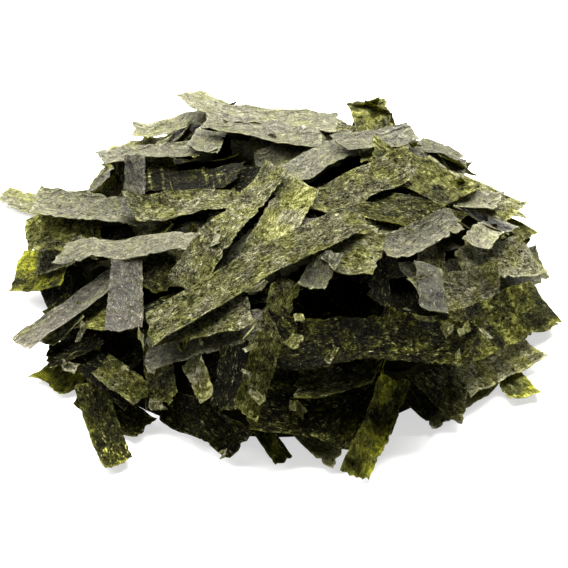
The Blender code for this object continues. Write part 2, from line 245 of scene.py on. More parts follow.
# The kinds that strips with no look of their own are torn from, by where they lie: those in front of
# FRONT are darker, painted shade for the front of the heap.
FRONT = -22.0
FRONT_SHADE_KINDS = [PAINTED_SHADE, PAINTED_SHADE, DARK, MOSS, SHINY]
BACK_KINDS = [MOSS, MOSS, GREEN, GREY]
FLAKE_KINDS = [GREEN, SILVER, PALE, MOSS]

# Dark strips on the floor behind the heap, so that no light comes through it; like the hidden strips,
# they are painted shade.
BACKING = [
    Laid(-29, 66, 4, 32, 9),
    Laid(-8, 63, -8, 30, 8),
    Laid(41, 55, -35, 22, 8),
    Laid(48, 57, -30, 18, 7),
]

# Strips that show deep in the widest gap at the back.
INFILL = [
    Laid(-9, 34.5, -5, 14, 8, look=GREY),
    Laid(2, 32.5, 21, 22, 7, look=FOG),
]

# Gaps that show dark between the strips, and the room for those laid at the back.
HOLLOWS = [
    Hollow(-8, 42, 24, 5),
    Hollow(16, -38, 9, 9),
    Hollow(44, -20, 8, 7),
    Hollow(-27, 18, 7, 6),
    Hollow(-27, -17, 7, 6),
    Hollow(5, 23, 6, 6),
    Hollow(21, 20, 6, 6),
    Hollow(14, 0, 7, 6),
    Hollow(-24, -50, 10, 7),
    Hollow(-48, -28, 13, 8),
    Hollow(31, -49, 12, 7),
]

# Strips whose place shows, from the first laid to the last: those on the floor round the
# rim, then those on the flanks, then those on top. Stiff ones stay straight, a level of 1
# keeps a strip from tilting sideways, and a level of 2 from tilting at all.
RIM = [
    Laid(-72, 34, -25, 28, 8, look=GREY),
    Laid(-66, -3, -25, 20, 13, look=PAINTED_GLOW),
    Laid(-56, -38, 35, 18, 12, look=PAINTED_GLOW),
    Laid(-43, -52, -36, 22, 9, look=PAINTED_SHADE),
    Laid(-45, -58, -70, 27, 8, look=DARK),
    Laid(-20, -60, -34, 24, 8, look=PAINTED_SHADE),
    Laid(-4, -65, -40, 13, 6, look=DARK),
    Laid(7, -63, -40, 20, 8, look=GREY),
    Laid(58, -38, -66, 20, 8, look=BROAD),
    Laid(64, -20, 30, 18, 9, look=MOSS),
    Laid(44, -48, 40, 20, 7, look=GREY),
    Laid(55, -37, 36, 26, 10, look=GREEN),
    Laid(63, 10, 64, 24, 8, look=DARK),
    Laid(44, 39, 20, 22, 8, look=GREEN),
    Laid(38, 48, 5, 20, 8, look=GREY),
    Laid(58, 24, -40, 30, 12, look=MOSS),
    Laid(-52, 28, 20, 30, 10, look=GREEN),
    Laid(-46, 40, -30, 24, 9, look=GREEN),
]
FLANK = [
    Laid(-46, -44, -44, 22, 8, look=PAINTED_SHADE),
    Laid(-54, -35, 15, 16, 8, look=PAINTED_SHADE),
    Laid(-41, -48, -42, 14, 7, look=MOSS),
    Laid(-50, -28, -32, 18, 9, look=BROAD),
    Laid(-21, -52, -68, 14, 5, look=PALE),
    Laid(1, -60, 3, 22, 13, look=DARK),
    Laid(18, -60, 50, 22, 10, look=DARK),
    Laid(31, -48, -27, 22, 12, look=PAINTED_SHADE),
    Laid(23, -62, 65, 28, 8, look=PAINTED_GLOW),
    Laid(37, -47, -28, 24, 12, look=SHINY),
    Laid(14, -53, 12, 22, 8, look=MOSS),
    Laid(17, -47, 2, 44, 10, look=DARK),
    Laid(-58, -29, 28, 13, 9, look=MOSS),
    Laid(-56, -25, 33, 31, 9, 0.15, look=LILAC),
    Laid(-60, 1, -20, 22, 12, look=BROAD),
    Laid(-49, 38, -60, 12, 6, 0.3, 1, look=PAINTED_GLOW),
    Laid(-53, 7, -18, 33, 10, 0.3, look=GREY),
    Laid(58, -6, 38, 28, 11, look=CHALK),
    Laid(50, 2, 5, 18, 8, look=MOSS),
    Laid(57, 3, 62, 27, 7, look=PAINTED_HIGHLIGHT),
    Laid(43, 31, 8, 20, 8, 0.3, 1, look=GREY),
    Laid(51, 16, -20, 30, 13, 0.03, 1, look=PALE),
    Laid(54, 12, 5, 13, 7, look=PAINTED_HIGHLIGHT),
]
TOP = [
    Laid(-28, 18, 9, 34, 12, look=BROWN),
    Laid(-40, 54, 2, 27, 7, 0.9, 1, look=FOG),
    Laid(-31, 58, -5, 30, 8, 0.3, 1, look=FOG),
    Laid(-18, 54, -48, 32, 9, level=2, look=FOG),
    Laid(0, 52, 75, 18, 9, level=1, look=GREY),
    Laid(15, 49, -62, 18, 8, level=1, look=GREEN),
    Laid(37, 42, 4, 16, 6, 0.3, 1, look=GREY),
    Laid(45, 37, 0, 14, 6, 0.3, 1, look=GREY),
    Laid(26, 41, -86, 30, 11, level=2, look=BROAD),
    Laid(-35, 27, 27, 35, 7, 0.3, 1, look=SILVER),
    Laid(-22, 36, -100, 16, 9, look=GREY),
    Laid(-2, 46, -8, 32, 9, 0.2, 1, look=FOG),
    Laid(-6, 39, -16, 34, 9, 0.1, 1, look=SILVER),
    Laid(11, 25, 40, 26, 9, 0.03, 1, look=GREY),
    Laid(26, 34, 25, 26, 8, look=SILVER),
    Laid(37, 18, -30, 28, 14, look=BROAD),
    Laid(34, 1, -20, 28, 14, look=MOSS),
    Laid(20, 13, 25, 36, 12, look=GREEN),
    Laid(-41, 10, -90, 21, 6, look=LILAC),
    Laid(-26, 5, 12, 32, 10, look=GREEN),
    Laid(-33, -19, -45, 15, 11, look=MOSS),
    Laid(-41, -26, -89, 23, 9, look=LILAC),
    Laid(-39, -11, -6, 43, 8, 0.2, 1, look=SILVER),
    Laid(-20, -43, 3, 30, 9, look=SILVER),
    Laid(-20, -40, 2, 24, 9, look=GREEN),
    Laid(-13, -54, -100, 16, 8, look=PAINTED_SHADE),
    Laid(-4, -48, -106, 40, 7, look=MOSS),
    Laid(46, -23, 28, 24, 11, look=CHALK),
    Laid(54, -30, 42, 46, 13, look=OLIVE),
    Laid(23, -48, -2, 47, 10, 0.6, look=DARK),
    Laid(36, -9, 37, 27, 8, look=SILVER),
    Laid(38, -28, -88, 17, 7, look=SLATE),
    Laid(7, -13, -90, 18, 6, look=LILAC),
    Laid(18, -21, 8, 15, 13, look=PALE),
    Laid(9, -28, -115, 12, 7, look=SLATE),
    Laid(-12, -15, 59, 30, 5, look=GREY),
    Laid(-3, -10, 68, 44, 11, look=PALE),
    Laid(-14, -6, 62, 50, 10, look=GREEN),
    Laid(-6, -25, 31, 65, 11, 0.03, 1, look=GREEN),
]


def mound_height(x, y):
    """Height of the bare mound: a flat top, steep sides and the hollows."""
    reach = np.hypot(x - MOUND_X, y - MOUND_Y) / MOUND_RADIUS
    z = MOUND_HEIGHT * (1 - reach ** MOUND_FLATNESS)
    for hollow in HOLLOWS:
        away = ((x - hollow.x) ** 2 + (y - hollow.y) ** 2) / hollow.radius ** 2
        z = z - hollow.depth * np.exp(-away)
    return np.maximum(z, 0)


class Ground:
    """Height of all that is laid so far, on a square grid."""

    def __init__(self):
        self.z = mound_height(*self.places())

    def places(self):
        steps = np.arange(-REACH, REACH + CELL / 2, CELL)
        return np.meshgrid(steps, steps, indexing="ij")

    def cell(self, x, y):
        last = len(self.z) - 2
        i = np.clip(np.rint((x + REACH) / CELL).astype(int), 1, last)
        j = np.clip(np.rint((y + REACH) / CELL).astype(int), 1, last)
        return i, j

    def top(self, x, y):
        """Highest ground in the nine cells around each point."""
        i, j = self.cell(x, y)
        near = [self.z[i + a, j + b] for a in (-1, 0, 1) for b in (-1, 0, 1)]
        return np.max(near, axis=0)

    def cover(self, x, y, z):
        np.maximum.at(self.z, self.cell(x, y), z)


def strip_points(count_u, count_v):
    """Even points over a strip, from -1 to 1 along it and across it."""
    along = np.linspace(-1, 1, count_u)
    across = np.linspace(-1, 1, count_v)
    u, v = np.meshgrid(along, across, indexing="ij")
    return u.ravel(), v.ravel()


class Strip:
    """A torn strip with its own curl, let down until it rests on the ground."""

    def __init__(self, laid, rng):
        self.x = laid.x
        self.y = laid.y
        self.turn = math.radians(laid.turn)
        self.length = laid.length
        self.width = laid.width
        self.stiff = laid.stiff
        self.level = laid.level
        self.look = laid.look
        self.bow = rng.normal(0, BOW) * laid.length * laid.wild
        self.skew = rng.uniform(-SKEW, SKEW, 2)
        self.taper = rng.uniform(-TAPER, TAPER)
        self.curl = rng.normal(0, CURL) * laid.wild
        self.cup = rng.normal(0, CUP)
        self.wave = rng.uniform(*WAVE)
        self.wave_length = rng.uniform(*WAVE_LENGTH)
        self.phase = rng.uniform(0, 2 * math.pi)
        self.fold = rng.choice([0, 0, 0, 1]) * rng.normal(0, FOLD) * laid.wild
        self.fold_at = rng.uniform(-FOLD_REACH, FOLD_REACH) * laid.length
        self.tip = rng.choice([0, 0, 1]) * rng.uniform(0, TIP_CURL)
        self.shrink = (1.0, 1.0)
        self.rest = np.zeros(6)

    def flat(self, u, v):
        """Place on the flat strip, along and across, with its skewed ends and taper."""
        skew = np.where(u < 0, self.skew[0], self.skew[1]) * np.abs(u) ** 3
        a = u * self.length / 2 + v * skew * self.width / 2
        b = v * self.width / 2 * (1 + self.taper * u) + self.bow * (u * u - 1 / 3)
        return a, b

    def plan(self, a, b):
        """Place seen from above, where a slope shortens the strip."""
        a = a * self.shrink[0]
        b = b * self.shrink[1]
        cos = math.cos(self.turn)
        sin = math.sin(self.turn)
        return self.x + a * cos - b * sin, self.y + a * sin + b * cos

    def own_shape(self, a, b):
        end = np.maximum(0, a - TIP_START * self.length)
        wave = np.sin(2 * math.pi * (a + WAVE_SLANT * b) / self.wave_length + self.phase)
        curl = self.curl * a * a / 2 + self.cup * b * b / 2 + self.tip * end * end
        return curl + self.wave * wave + self.fold * np.abs(a - self.fold_at)

    def bends(self, a, b):
        """The ways a strip may tilt (the first three) and bend as it comes to rest."""
        p = a / BEND_ALONG * (self.level < 2)
        q = b / BEND_ACROSS * (self.level < 1)
        return np.stack([np.ones_like(p), p, q, p * p, p * q, p ** 3], axis=1)

    def height(self, a, b):
        return self.own_shape(a, b) + self.bends(a, b) @ self.rest

    def settle(self, ground):
        """Let the strip down on the ground, then raise the ground by it."""
        a, b = self.flat(*strip_points(max(5, int(self.length / REST_PITCH)), REST_COLUMNS))
        bends = self.bends(a, b)
        tilts = bends[:, :3]
        stiff = tilts @ np.linalg.pinv(tilts)
        soft = bends @ np.linalg.pinv(bends)
        give = 1 - min(1.0, self.stiff * (STIFF_LENGTH / self.length) ** 2)
        hold = stiff + give * (soft - stiff)
        own = self.own_shape(a, b)
        for _ in range(TURNS_TO_REST):
            floor = ground.top(*self.plan(a, b)) + CLEAR - own
            z = np.full(len(floor), floor.max() + 0.5)
            fall = FIRST_FALL
            for _ in range(FALL_STEPS):
                z = hold @ np.maximum(z - fall, floor)
                fall = max(fall * FALL_SLOWING, LEAST_FALL)
            self.rest = np.linalg.pinv(bends) @ z
            self.rest[0] += max(0.0, float((floor - z).max()))
            self.shrink = 1 / np.hypot(1, [self.rest[1] / BEND_ALONG, self.rest[2] / BEND_ACROSS])
        rows = int(self.length / COVER_PITCH) + 2
        columns = int(self.width / COVER_PITCH) + 2
        a, b = self.flat(*strip_points(rows, columns))
        ground.cover(*self.plan(a, b), self.height(a, b) + SHEET)


def spiral_places(count, reach):
    """Places spread evenly over a disc, from its rim inwards, by the golden angle."""
    golden = math.pi * (3 - math.sqrt(5))
    for k in reversed(range(count)):
        yield reach * math.sqrt((k + 0.5) / count), k * golden


def under_strips(rng):
    """The strips hidden under the others, short near the rim."""
    for r, t in spiral_places(UNDER_STRIPS, UNDER_REACH):
        x = MOUND_X + r * math.cos(t)
        y = MOUND_Y + r * math.sin(t)
        longest = UNDER_LENGTH[1] if r < UNDER_INNER else UNDER_SHORT
        turn = rng.uniform(0, 180)
        length = rng.uniform(UNDER_LENGTH[0], longest)
        yield Strip(Laid(x, y, turn, length, rng.uniform(*UNDER_WIDTH), wild=1), rng)


def side_strips(rng):
    """The strips round the back and the sides, which point outwards more or less."""
    for r, t in spiral_places(SIDE_STRIPS, SIDE_REACH):
        y = r * math.sin(t)
        if y >= SIDE_BACK or y >= SIDE_FRONT and r >= SIDE_INNER:
            turn = math.degrees(t) + rng.normal(0, SIDE_TURN)
            length = rng.uniform(*SIDE_LENGTH)
            r = min(r, SIDE_OUTER - length / 2)
            place = (r * math.cos(t), r * math.sin(t))
            yield Strip(Laid(*place, turn, length, rng.uniform(*SIDE_WIDTH), wild=1), rng)


def scraps(rng):
    """The short strips under those of the flanks."""
    for r, t in spiral_places(SCRAPS, SCRAP_REACH):
        x = MOUND_X + r * math.cos(t)
        y = MOUND_Y + r * math.sin(t)
        if r >= SCRAP_INNER and y < SCRAP_BACK:
            turn = rng.uniform(0, 180)
            length = rng.uniform(*SCRAP_LENGTH)
            yield Strip(Laid(x, y, turn, length, rng.uniform(*SCRAP_WIDTH)), rng)


def lay_heap():
    """The strips hidden under the others, the outer ones over them, and the ground they make."""
    rng = np.random.default_rng(SEED)
    ground = Ground()
    under = list(under_strips(rng))
    for strip in under:
        strip.settle(ground)
    outer = [Strip(laid, rng) for laid in RIM]
    outer += side_strips(rng)
    outer += scraps(rng)
    outer += [Strip(laid, rng) for laid in FLANK + TOP]
    for strip in outer:
        strip.settle(ground)
    return under, outer, ground


def jagged(rng, along, pitch, size):
    """A torn line: random offsets at knots a pitch apart, straight between them."""
    knots = np.arange(along.min() - pitch, along.max() + 2 * pitch, pitch)
    return np.interp(along, knots, rng.normal(0, size, len(knots)))


def bites(rng, along):
    """Small notches torn out of an edge."""
    depth = np.zeros(len(along))
    length = along.max() - along.min()
    for _ in range(rng.poisson(length / BITE_EVERY)):
        middle = rng.uniform(along.min(), along.max())
        width = rng.uniform(*BITE_WIDTH)
        notch = rng.uniform(*BITE_DEPTH) * (1 - np.abs(along - middle) / width)
        depth = np.maximum(depth, notch)
    return depth


def side_edge(rng, along):
    """How far a strip's long edge stands out, all along it."""
    torn = jagged(rng, along, NICK_PITCH, NICK) + jagged(rng, along, DRIFT_PITCH, DRIFT)
    return torn - bites(rng, along)


def end_edge(rng, along):
    """How far a strip's end stands out, all across it."""
    return jagged(rng, along, NICK_PITCH, END_NICK) + jagged(rng, along, DRIFT_PITCH, END_DRIFT)


def sines(rng, a, b, wave, size):
    """Gentle unevenness: waves that run every way."""
    z = np.zeros(len(a))
    for _ in range(SINES):
        way = rng.uniform(0, 2 * math.pi)
        pace = 2 * math.pi / (wave * rng.uniform(*SINE_SPREAD))
        z += np.sin(pace * (a * math.cos(way) + b * math.sin(way)) + rng.uniform(0, 2 * math.pi))
    return z * size / math.sqrt(SINES)


def flutter(rng, a, v):
    """The loose waves of the two long edges."""
    z = np.zeros(len(a))
    for side in (-1, 1):
        wave = rng.uniform(*FLUTTER_WAVE)
        near = np.maximum(0, side * v) ** 3
        size = FLUTTER * rng.uniform(-1, 1)
        z += near * size * np.sin(2 * math.pi * a / wave + rng.uniform(0, FLUTTER_START))
    return z


class Sheets:
    """Thin closed sheets gathered into one mesh."""

    def __init__(self, name):
        self.name = name
        self.points = []
        self.faces = []
        self.places = []
        self.looks = []
        self.count = 0

    def add(self, x, y, z, a, b, rows, columns, look, edge):
        """A sheet over a grid of points, with the place of each on the flat strip."""
        # Painted glow: how strongly each point is painted lighter and yellower for the light that
        # comes through the strips near the heap's rim.
        rim = np.clip((np.hypot(x - MOUND_X, y - MOUND_Y) - PAINTED_GLOW_START) / PAINTED_GLOW_WIDTH, 0, 1)
        mark = np.full(len(a), len(self.points) * PATTERN_STEP)
        for lift in (SHEET, 0):
            self.points.append(np.stack([x - MIDDLE[0], y - MIDDLE[1], z + lift], axis=1))
            self.places.append(np.stack([a, b, mark], axis=1))
            self.looks.append(np.column_stack([np.tile(look, (len(a), 1)), edge, rim]))
        grid = np.arange(rows * columns).reshape(rows, columns) + self.count
        under = grid + rows * columns
        self.faces.append(quads(grid[:-1, :-1], grid[1:, :-1], grid[1:, 1:], grid[:-1, 1:]))
        self.faces.append(quads(under[:-1, :-1], under[:-1, 1:], under[1:, 1:], under[1:, :-1]))
        ring = np.concatenate([grid[:-1, 0], grid[-1, :-1], grid[:0:-1, -1], grid[0, :0:-1]])
        after = np.roll(ring, -1)
        drop = rows * columns
        self.faces.append(quads(ring, ring + drop, after + drop, after))
        self.count += 2 * rows * columns

    def make(self, material):
        """The piece of the scene that all the sheets make."""
        points = np.concatenate(self.points) * MM
        faces = np.concatenate(self.faces)
        mesh = bpy.data.meshes.new(self.name)
        mesh.vertices.add(len(points))
        mesh.vertices.foreach_set("co", points.ravel())
        mesh.loops.add(faces.size)
        mesh.loops.foreach_set("vertex_index", faces.ravel())
        mesh.polygons.add(len(faces))
        mesh.polygons.foreach_set("loop_start", np.arange(0, faces.size, 4))
        place = mesh.attributes.new("strip_place", "FLOAT_VECTOR", "POINT")
        place.data.foreach_set("vector", np.concatenate(self.places).ravel())
        looks = np.concatenate(self.looks)
        for k, name in enumerate(LOOKS):
            values = mesh.attributes.new(name, "FLOAT", "POINT")
            values.data.foreach_set("value", looks[:, k].astype(np.float32))
        mesh.update(calc_edges=True)
        mesh.shade_smooth()
        mesh.set_sharp_from_angle(angle=math.radians(SHARP))
        mesh.materials.append(material)
        piece = bpy.data.objects.new(self.name, mesh)
        bpy.context.scene.collection.objects.link(piece)
        return piece


def quads(a, b, c, d):
    """Faces with four corners, from the grids of their corners."""
    return np.stack([a.ravel(), b.ravel(), c.ravel(), d.ravel()], axis=1)


def fine_strip(strip, sheets, rng, look, pitch):
    """Add a strip that has come to rest as a sheet with torn edges, ripples and lifted ends."""
    rows = int(strip.length / pitch[0]) + 2
    columns = int(strip.width / pitch[1]) + 2
    u, v = strip_points(rows, columns)
    a, b = strip.flat(u, v)
    along = np.linspace(-1, 1, rows) * strip.length / 2
    across = np.linspace(-1, 1, columns) * strip.width / 2
    torn = rng.choice(TORN)
    sides = [np.repeat(torn * side_edge(rng, along), columns) for _ in range(2)]
    ends = [np.tile(end_edge(rng, across), rows) for _ in range(2)]
    b = b + v * np.where(v < 0, sides[0], sides[1])
    a = a + u * u * u * np.where(u < 0, ends[0], ends[1])
    x, y = strip.plan(a, b)
    z = strip.height(a, b)
    z = z + sines(rng, a, b, COCKLE_WAVE, COCKLE) + sines(rng, a, b, CRINKLE_WAVE, CRINKLE)
    lift = rng.uniform(*SIDE_LIFT) * v * v
    lift = lift + rng.uniform(*END_LIFT, 2)[(u > 0).astype(int)] * u ** 4
    room = np.clip((HEAP_TOP - z) / TOP_ROOM, 0, 1)
    lift = (lift + flutter(rng, a, v)) * room * min(1, strip.length / LIFT_LENGTH)
    z = np.clip(z + lift, FLOOR_CLEAR, HEAP_TOP)
    # Painted highlight: a pale band along the strip's edges.
    margin = np.minimum((1 - np.abs(u)) * strip.length / 2, (1 - np.abs(v)) * strip.width / 2)
    edge = np.clip(1 - margin / PAINTED_EDGE_BAND, 0, 1)
    sheets.add(x, y, z, a, b, rows, columns, look, edge)


def attribute(tree, name, output="Fac"):
    node = tree.nodes.new("ShaderNodeAttribute")
    node.attribute_name = name
    return node.outputs[output]


def noise(tree, vector, scale, detail, roughness=0.5, distortion=0.0):
    node = tree.nodes.new("ShaderNodeTexNoise")
    node.inputs["Scale"].default_value = scale
    node.inputs["Detail"].default_value = detail
    node.inputs["Roughness"].default_value = roughness
    node.inputs["Distortion"].default_value = distortion
    tree.links.new(vector, node.inputs["Vector"])
    return node.outputs["Fac"]


def ridges(tree, vector, scale, distortion, width):
    """Thin winding lines, where a noise crosses its middle."""
    field = noise(tree, vector, scale, 1, 0.5, distortion)
    away = maths(tree, "ABSOLUTE", maths(tree, "SUBTRACT", field, 0.5))
    return levels(tree, away, 0, width, 1, 0)


def ramp(tree, value, stops):
    node = tree.nodes.new("ShaderNodeValToRGB")
    points = node.color_ramp.elements
    while len(points) < len(stops):
        points.new(0.5)
    for point, (place, colour) in zip(points, stops):
        point.position = place
        point.color = (*colour, 1)
    tree.links.new(value, node.inputs["Fac"])
    return node.outputs["Color"]


def levels(tree, value, low, high, out_low=0.0, out_high=1.0):
    node = tree.nodes.new("ShaderNodeMapRange")
    node.inputs["From Min"].default_value = low
    node.inputs["From Max"].default_value = high
    node.inputs["To Min"].default_value = out_low
    node.inputs["To Max"].default_value = out_high
    tree.links.new(value, node.inputs["Value"])
    return node.outputs["Result"]


def plug(tree, value, socket):
    """Link or set an input."""
    if isinstance(value, (int, float, tuple)):
        socket.default_value = value
    else:
        tree.links.new(value, socket)


def maths(tree, operation, a, b=0.0):
    node = tree.nodes.new("ShaderNodeMath")
    node.operation = operation
    plug(tree, a, node.inputs[0])
    plug(tree, b, node.inputs[1])
    return node.outputs[0]


def total(tree, value, *parts):
    for part in parts:
        value = maths(tree, "ADD", value, part)
    return value


def product(tree, a, b):
    return maths(tree, "MULTIPLY", a, b)


def mix(tree, share, a, b, blend="MIX"):
    node = tree.nodes.new("ShaderNodeMix")
    node.data_type = "RGBA"
    node.blend_type = blend
    plug(tree, share, node.inputs[0])
    plug(tree, a, node.inputs[6])
    plug(tree, b, node.inputs[7])
    return node.outputs[2]


def squeezed(tree, vector, turn, scale):
    """The strip's own coordinates, turned and squeezed, so that a noise on them makes dashes."""
    node = tree.nodes.new("ShaderNodeMapping")
    node.vector_type = "TEXTURE"
    node.inputs["Rotation"].default_value = (0, 0, math.radians(turn))
    node.inputs["Scale"].default_value = scale
    tree.links.new(vector, node.inputs["Vector"])
    return node.outputs["Vector"]


def sheet_pattern(tree, place):
    """The noises of a sheet: its grain of fibres, clumps, specks, patches and cracks, and its pits,
    which also carry painted shade.
    """
    streaks = squeezed(tree, place, 0, (2.6, 1, 1))
    short_fibres = ridges(tree, place, 1.1, 1.8, 0.06)
    fibres = maths(tree, "MAXIMUM", ridges(tree, streaks, 1.0, 1.5, 0.07), short_fibres)
    clumps = noise(tree, squeezed(tree, place, 0, (1.6, 1, 1)), 1.3, 4, 0.66, 1.2)
    patches = noise(tree, place, 0.30, 4, 0.60, 0.8)
    cracks = ridges(tree, squeezed(tree, place, 0, (0.6, 1.5, 1)), 0.09, 2.0, 0.008)
    uncracked = total(
        tree,
        levels(tree, fibres, 0, 1, 0, 0.24),
        levels(tree, clumps, 0.34, 0.66, -0.08, 0.60),
        levels(tree, noise(tree, place, 1.2, 2, 0.6, 1.0), 0.60, 0.72, 0, 0.3),
        levels(tree, patches, 0.32, 0.68, -0.15, 0.17),
    )
    grain = maths(tree, "SUBTRACT", uncracked, levels(tree, cracks, 0, 1, 0, 0.35))
    pits = levels(tree, noise(tree, place, 0.75, 2, 0.5, 0.6), 0.64, 0.71, 0, 0.5)
    tint = noise(tree, place, 0.16, 4, 0.6, 0.6)
    return Pattern(streaks, clumps, tint, pits, grain)


def sheet_shade(tree, place, look, pattern, smooth):
    """How light the sheet is, from 0, almost black, to 1: its grain and tone, with painted glints, a
    painted highlight along the edges, a painted glow near the heap's rim and painted shade in its
    pits.
    """
    low, high = (0.14, 0.76) if smooth else (0.0, 1.0)
    # The pits are darkened: painted shade in the dents that the bump also makes.
    sheet = maths(tree, "SUBTRACT", levels(tree, pattern.grain, 0, 1, low, high), pattern.pits)
    # Painted glints: bright flecks along the grain, strongest on the dark kinds.
    painted_glints = levels(tree, noise(tree, pattern.streaks, 1.5, 2, 0.6, 1.4), 0.58, 0.70, 0, 1)
    bars = noise(tree, squeezed(tree, place, 0, (0.55, 9, 1)), 0.55, 2, 0.6, 0.4)
    blotches = levels(tree, pattern.tint, 0.36, 0.64, -0.3, 0.22)
    return total(
        tree,
        sheet,
        levels(tree, look.paleness, -0.5, 1, -0.56, 0.28),
        product(tree, painted_glints, levels(tree, look.paleness, 0, 0.8, 0.75, 0.04)),
        # painted highlight along each strip's edge, stronger towards the heap's rim
        product(tree, look.edge, levels(tree, look.rim, 0, 1, 0.10, 0.32)),
        # painted glow: the sheet is lighter towards the heap's rim
        levels(tree, look.rim, 0, 1, 0, 0.12),
        product(tree, levels(tree, look.yellowness, 1.0, 1.2, 0, 1), blotches),
        product(tree, look.stripes, levels(tree, bars, 0.56, 0.66, 0, 0.5)),
    )


def sheet_colour(tree, look, pattern, shade):
    """Grey where the sheet isn't yellow, from olive to lime where it is."""
    grey = ramp(tree, shade, [
        (0.0, (0.0014, 0.0014, 0.0003)),
        (0.25, (0.0105, 0.0105, 0.0033)),
        (0.5, (0.056, 0.056, 0.028)),
        (0.75, (0.160, 0.158, 0.096)),
        (1.0, (0.39, 0.38, 0.29)),
    ])
    yellowed = total(tree, look.yellowness, levels(tree, pattern.tint, 0.36, 0.64, -0.9, 0.9))
    strength = levels(tree, yellowed, 0.9, 1.9, 0, 1)
    vivid = mix(tree, strength, (1.02, 1.06, 0.42, 1), (1.02, 1.08, 0.14, 1))
    warm = mix(tree, 1.0, grey, vivid, "MULTIPLY")
    # Painted glow: towards the heap's rim the sheet is painted yellower and keeps its full colour.
    yellowed = total(tree, yellowed, levels(tree, look.rim, 0, 1, 0, 0.4))
    vivid_kind = maths(tree, "MAXIMUM", look.rim, levels(tree, look.yellowness, 1.0, 1.3, 0, 1))
    dim = maths(tree, "MAXIMUM", levels(tree, shade, 0.3, 0.9, 1, 0.5), vivid_kind)
    colour = mix(tree, product(tree, levels(tree, yellowed, 0, 1, 0, 1), dim), grey, warm)
    greyed = levels(tree, yellowed, -0.5, 0.2, 1, 0)
    colour = mix(tree, greyed, colour, (1.0, 0.98, 0.98, 1), "MULTIPLY")
    lilac = product(tree, look.lilac, levels(tree, pattern.tint, 0.40, 0.60, 1, 0.3))
    return mix(tree, lilac, colour, (1.03, 0.94, 1.2, 1), "MULTIPLY")


def sheet_relief(tree, place, pattern, distance):
    """The finest relief: the grain, the pits and the wrinkles."""
    wrinkles = ridges(tree, squeezed(tree, place, 15, (2, 1, 1)), 0.22, 0.8, 0.16)
    height = total(tree, pattern.grain, levels(tree, wrinkles, 0, 1, 0, 1.3))
    bump = tree.nodes.new("ShaderNodeBump")
    bump.inputs["Distance"].default_value = distance
    bump.inputs["Strength"].default_value = 1.0
    tree.links.new(maths(tree, "SUBTRACT", height, pattern.pits), bump.inputs["Height"])
    return bump.outputs["Normal"]


def light_through(tree, look, shade):
    """The shader for the light that comes through the sheet; its colour is painted brighter towards
    the heap's rim, a painted glow.
    """
    thin = total(tree, shade, levels(tree, look.yellowness, 0, 1, -0.25, 0.15))
    glow = ramp(tree, total(tree, thin, levels(tree, look.rim, 0, 1, 0, 0.4)), [
        (0.0, (0.015, 0.015, 0.0015)),
        (0.5, (0.20, 0.205, 0.022)),
        (1.0, (0.43, 0.44, 0.10)),
    ])
    through = tree.nodes.new("ShaderNodeBsdfTranslucent")
    tree.links.new(glow, through.inputs["Color"])
    return through.outputs["BSDF"]


def nori_material(name, smooth):
    """The rough or the smooth side of the sheet. Its pattern is in millimetres on each strip."""
    material = bpy.data.materials.new(name)
    material.use_nodes = True
    tree = material.node_tree
    surface = tree.nodes["Principled BSDF"]
    place = attribute(tree, "strip_place", "Vector")
    look = Sockets(*(attribute(tree, kind) for kind in LOOKS))
    pattern = sheet_pattern(tree, place)
    shade = sheet_shade(tree, place, look, pattern, smooth)
    colour = sheet_colour(tree, look, pattern, shade)
    clumped = levels(tree, pattern.clumps, 0.36, 0.66, 0.08, -0.08)
    rough = total(tree, levels(tree, look.gloss, 0, 1, 0.80, 0.40), clumped)
    relief = sheet_relief(tree, place, pattern, (0.25 if smooth else 0.4) * MM)
    tree.links.new(colour, surface.inputs["Base Color"])
    tree.links.new(rough, surface.inputs["Roughness"])
    tree.links.new(relief, surface.inputs["Normal"])
    surface.inputs["IOR"].default_value = 1.30 if smooth else 1.12
    both = tree.nodes.new("ShaderNodeMixShader")
    both.inputs["Fac"].default_value = THROUGH
    tree.links.new(surface.outputs["BSDF"], both.inputs[1])
    tree.links.new(light_through(tree, look, shade), both.inputs[2])
    tree.links.new(both.outputs["Shader"], tree.nodes["Material Output"].inputs["Surface"])
    return material


def plain_material(name, colour, roughness):
    """One colour all over."""
    material = bpy.data.materials.new(name)
    material.use_nodes = True
    tree = material.node_tree
    surface = tree.nodes["Principled BSDF"]
    surface.inputs["Base Color"].default_value = (*colour, 1)
    surface.inputs["Roughness"].default_value = roughness
    return material


def shaded_core_material():
    """Broken nori, painted almost black as the shade deep between the strips."""
    material = plain_material("nori_core", (0.01, 0.011, 0.005), 0.9)
    tree = material.node_tree
    surface = tree.nodes["Principled BSDF"]
    surface.inputs["IOR"].default_value = 1.05
    where = tree.nodes.new("ShaderNodeTexCoord").outputs["Object"]
    crumbs = noise(tree, where, 900, 4, 0.6, 0.5)
    colour = ramp(tree, crumbs, [(0.35, (0.001, 0.001, 0.0005)), (0.7, (0.006, 0.006, 0.002))])
    tree.links.new(colour, surface.inputs["Base Color"])
    return material


def lowest_near(z, passes):
    """The lowest of each cell's neighbours, as many cells away as there are passes."""
    for _ in range(passes):
        padded = np.pad(z, 1, mode="edge")
        rows, columns = z.shape
        z = np.min([padded[i:i + rows, j:j + columns] for i in range(3) for j in range(3)], axis=0)
    return z


def core_edge(t):
    """How far out the core reaches in direction t, further at the heap's back."""
    return MOUND_RADIUS * CORE_REACH + CORE_BACK * np.maximum(0, np.sin(t))


